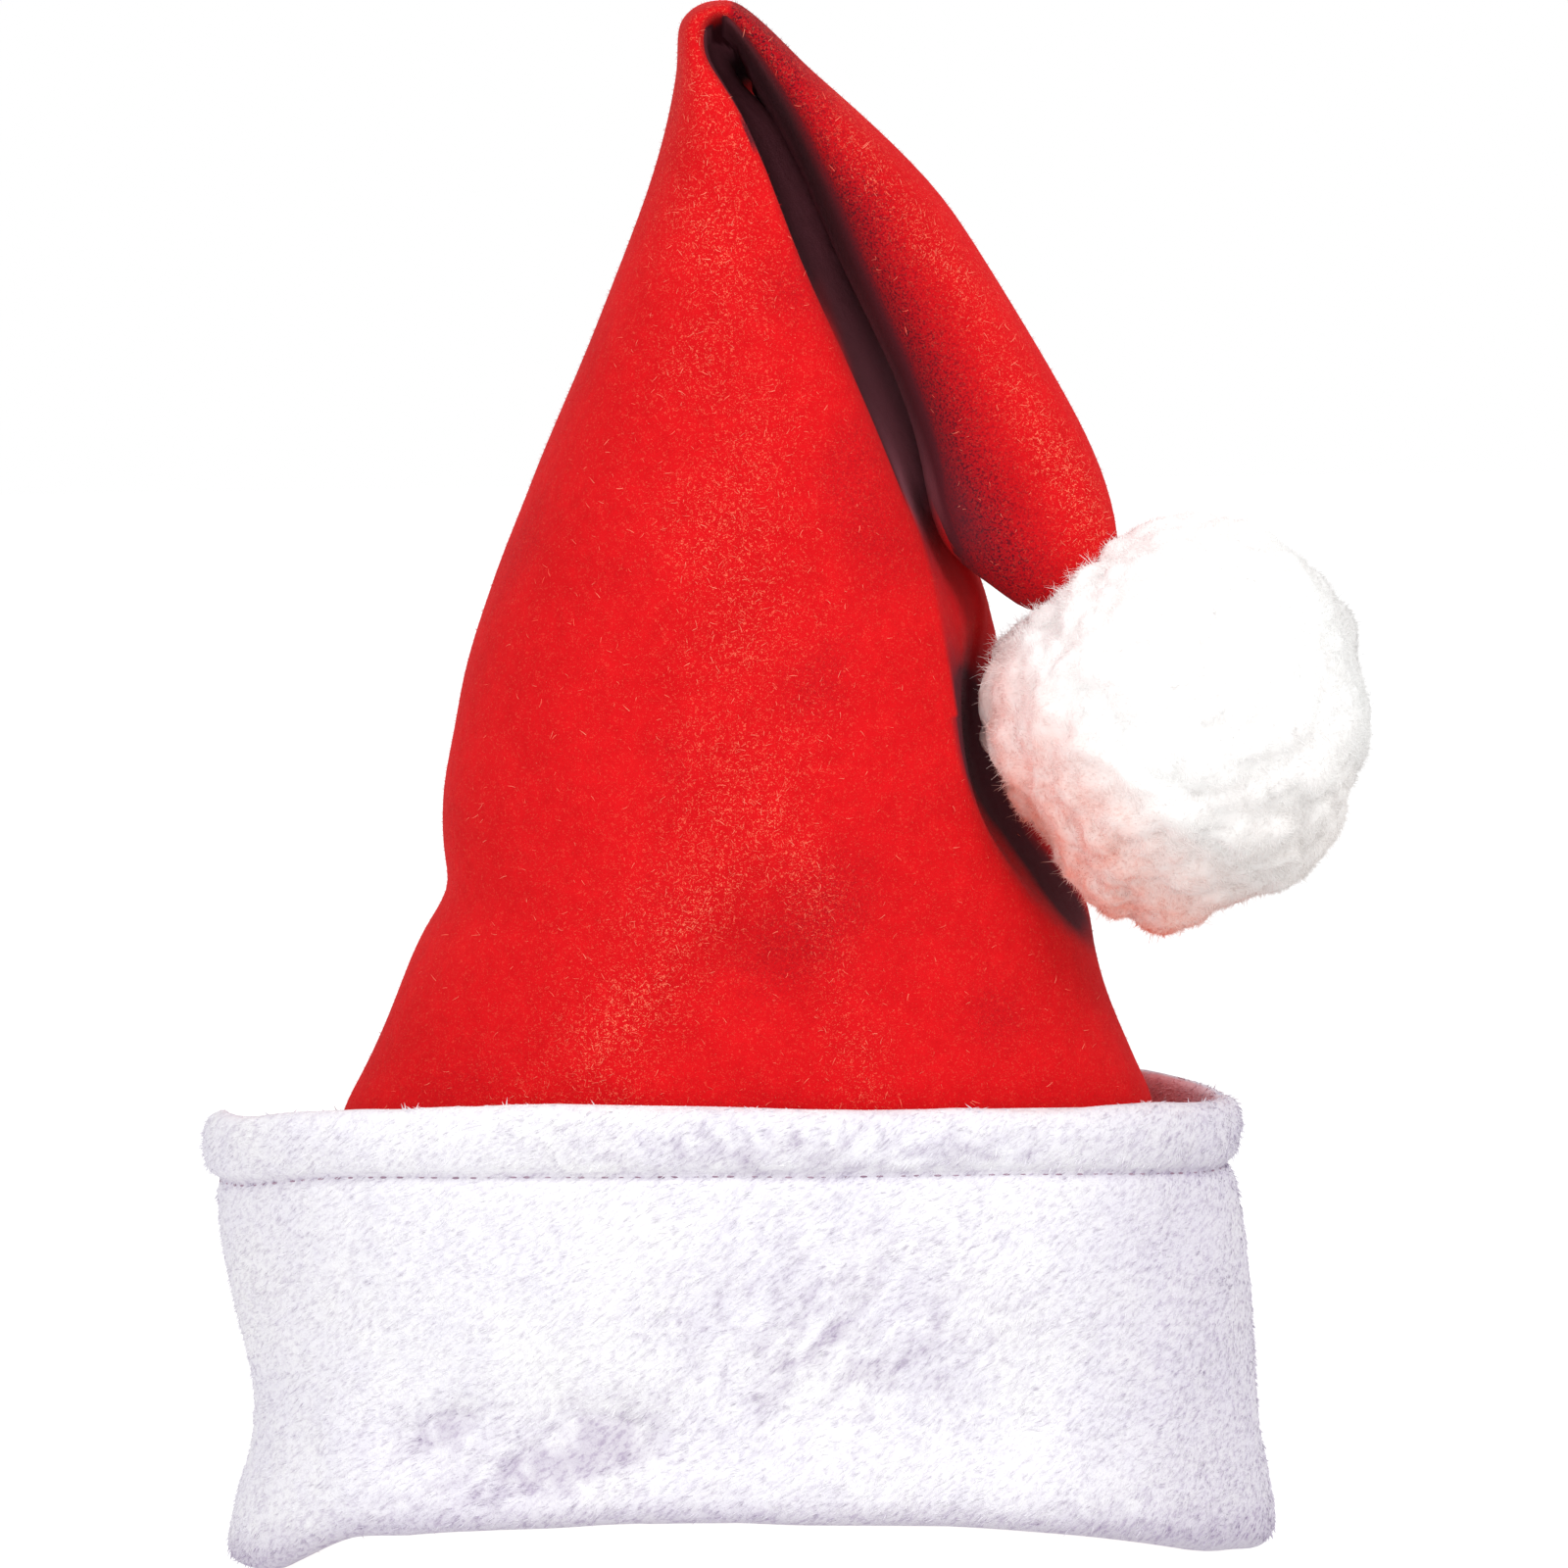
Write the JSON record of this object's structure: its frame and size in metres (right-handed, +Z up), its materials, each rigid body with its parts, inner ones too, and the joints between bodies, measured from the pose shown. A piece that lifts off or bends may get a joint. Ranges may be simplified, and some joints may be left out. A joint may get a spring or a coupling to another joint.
{
  "type": "santa hat",
  "caption": "Red felt santa hat whose tip folds over at the peak and hangs down one side to a white woolly pompom, with a tall white fleecy cuff stitched below its hem.",
  "frame": {"origin": "on the table, under the middle of the whole hat's box", "axes": "+Z up to the peak, -Y towards the viewer of the front, +X towards the side that the tail and the pompom hang on"},
  "size_m": [0.2702, 0.1294, 0.3574],
  "materials": {
    "red_felt": "matte felt",
    "white_fleece": "matte brushed fleece",
    "white_wool": "matte fluffy wool"
  },
  "bodies": {
    "root": {"crown": "red_felt", "cuff": "white_fleece", "pompom": "white_wool"}
  },
  "joints": []
}
